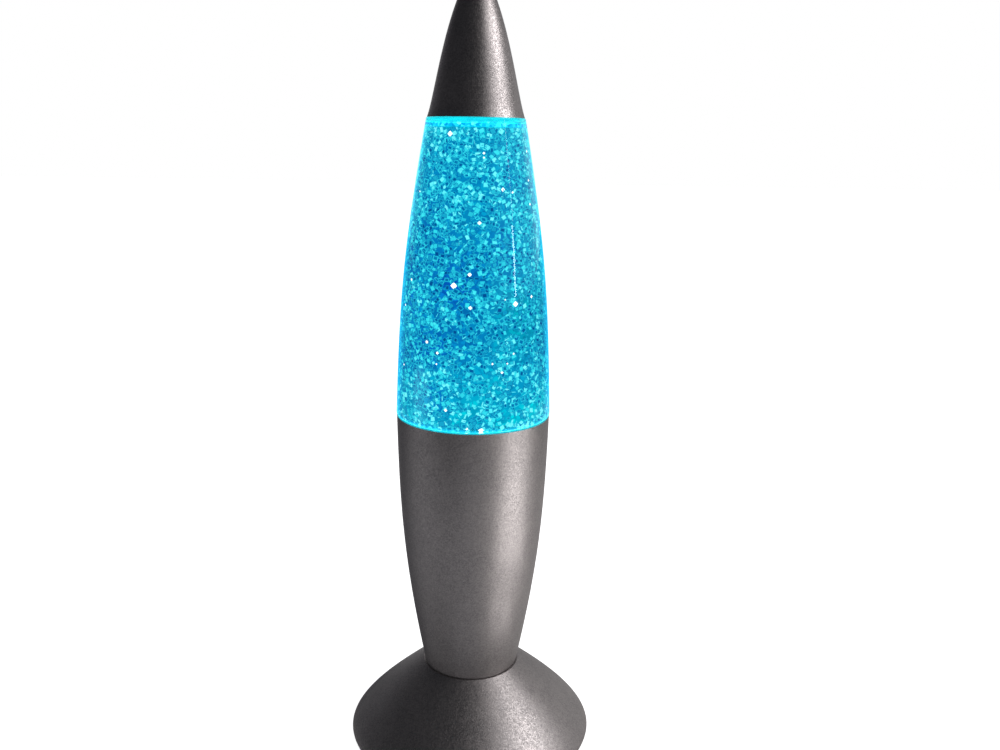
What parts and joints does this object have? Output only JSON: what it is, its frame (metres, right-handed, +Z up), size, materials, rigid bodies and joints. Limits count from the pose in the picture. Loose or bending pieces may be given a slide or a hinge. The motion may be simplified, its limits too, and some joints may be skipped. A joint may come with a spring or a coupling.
{
  "type": "glitter lamp",
  "caption": "Free-standing glitter lamp: domed foot, tapered body with lights and a magnetic drive, liquid-filled glitter bottle with a stirrer, and a lift-off nose cap.",
  "frame": {"origin": "centre of the foot on the surface that the rubber pads stand on", "axes": "+Z up along the lamp's axis; the front faces -Y, the socket and button face +Y"},
  "size_m": [0.1102, 0.1102, 0.3357],
  "materials": {
    "foot_paint": "grey metallic paint with a fine speckle, satin",
    "body_paint": "grey metallic paint with a fine speckle, satin",
    "cap_paint": "grey metallic paint with a fine speckle, satin",
    "plate_plastic": "moulded, matt, fine grain",
    "screw_steel": "zinc-plated screws",
    "pad_rubber": "matt rubber",
    "board_green": "green solder mask over glass fibre",
    "component_black": "moulded component bodies",
    "socket_black": "moulded, matt",
    "button_black": "moulded, satin",
    "spring_steel": "drawn spring wire",
    "carrier_white": "moulded, matt white",
    "led_board_white": "white solder mask",
    "led_package": "white package with a clear dish",
    "diffuser_frost": "frosted translucent acrylic",
    "ring_silicone": "soft translucent silicone",
    "motor_steel": "plated drawn steel",
    "motor_plastic": "moulded, natural",
    "bush_brass": "turned",
    "lead_sheath": "smooth flexible sheath",
    "shaft_steel": "ground",
    "holder_plastic": "moulded, matt",
    "magnet_nickel": "nickel-plated",
    "bottle_glass": "clear, polished, thick-walled",
    "liquid_glitter": "clear liquid lit cyan and blue, full of glitter flakes",
    "closure_white": "moulded, matt white",
    "seal_rubber": "soft",
    "stirrer_clear": "moulded, clear to milky",
    "sleeve_plastic": "moulded, matt"
  },
  "bodies": {
    "root": {"foot_shell": "foot_paint", "bottom_plate": "plate_plastic", "plate_screws": "screw_steel", "rubber_pads": "pad_rubber", "control_board": "board_green", "board_parts": "component_black", "board_screws": "screw_steel", "dc_socket": "socket_black", "switch_body": "component_black", "button_spring": "spring_steel", "body_shell": "body_paint", "body_screws": "screw_steel", "light_carrier": "carrier_white", "carrier_screws": "screw_steel", "led_board": "led_board_white", "led_lamps": "led_package", "light_diffuser": "diffuser_frost", "seat_ring": "ring_silicone", "motor_can": "motor_steel", "motor_end_cap": "motor_plastic", "motor_bush": "bush_brass", "motor_screws": "screw_steel", "motor_lead": "lead_sheath", "led_lead": "lead_sheath"},
    "rotor": {"motor_shaft": "shaft_steel", "magnet_holder": "holder_plastic", "drive_magnets": "magnet_nickel"},
    "bottle": {"glass_bottle": "bottle_glass", "glitter_liquid": "liquid_glitter", "bottle_closure": "closure_white", "closure_seal": "seal_rubber", "stirrer_seat": "stirrer_clear", "pin_cap": "stirrer_clear"},
    "stirrer": {"stirrer_wheel": "stirrer_clear", "stirrer_magnets": "magnet_nickel"},
    "cap": {"nose_cap": "cap_paint", "cap_sleeve": "sleeve_plastic"},
    "button": {"button_cap": "button_black"}
  },
  "joints": [
    {"name": "bottle_lift", "type": "slide", "parent": "root", "child": "bottle", "axis": [0, 0, 1], "range_m": [0, 0.04]},
    {"name": "cap_lift", "type": "slide", "parent": "bottle", "child": "cap", "axis": [0, 0, 1], "range_m": [0, 0.03]},
    {"name": "motor_spin", "type": "hinge", "parent": "root", "child": "rotor", "pos_m": [0, 0, 0.12], "axis": [0, 0, 1], "continuous": true},
    {"name": "stirrer_spin", "type": "hinge", "parent": "bottle", "child": "stirrer", "pos_m": [0, 0, 0.145], "axis": [0, 0, 1], "continuous": true},
    {"name": "button_press", "type": "slide", "parent": "root", "child": "button", "axis": [0, -1, 0], "range_m": [0, 0.001], "stiffness_N_per_m": 400, "springref_m": -0.001, "deforming": ["button_spring"]}
  ],
  "couplings": [
    {"joint": "stirrer_spin", "follows": "motor_spin", "ratio": 1}
  ]
}
